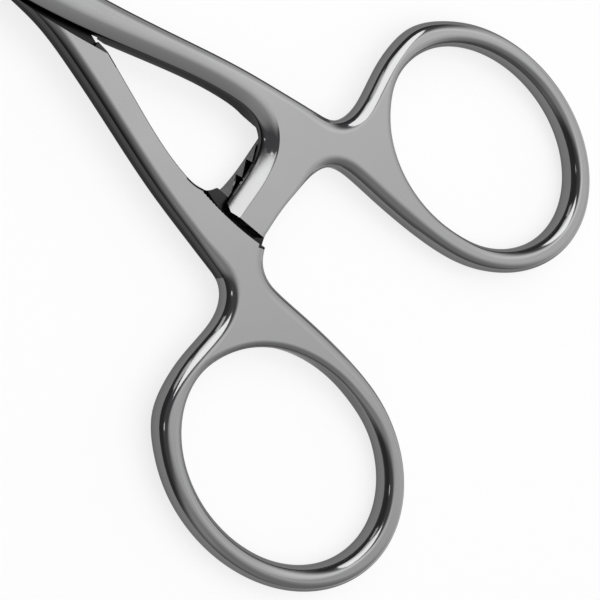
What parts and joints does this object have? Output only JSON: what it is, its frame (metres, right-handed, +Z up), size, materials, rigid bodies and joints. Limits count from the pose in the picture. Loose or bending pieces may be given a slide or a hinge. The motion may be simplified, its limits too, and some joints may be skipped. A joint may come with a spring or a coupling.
{
  "type": "tongue forceps",
  "caption": "Steel tongue forceps with finger rings, a ratchet between the shanks and open oval jaws, turning on a slotted screw.",
  "frame": {"origin": "on the pivot's axis at the underside of the joint, level with the flat faces that lie lowest", "axes": "+X from the pivot to the finger rings, +Y towards the upper half's ring, +Z up along the pivot's axis"},
  "size_m": [0.1648, 0.0768, 0.012],
  "materials": {
    "upper_steel": "satin flats with polished bands",
    "lower_steel": "satin flats with polished bands",
    "screw_steel": "turned and polished"
  },
  "bodies": {
    "lower": {"lower_half": "lower_steel", "pivot_screw": "screw_steel"},
    "upper": {"upper_half": "upper_steel"}
  },
  "joints": [
    {"name": "pivot", "type": "hinge", "parent": "lower", "child": "upper", "pos_m": [0, 0, 0], "axis": [0, 0, 1], "range_deg": [0, 40]}
  ]
}
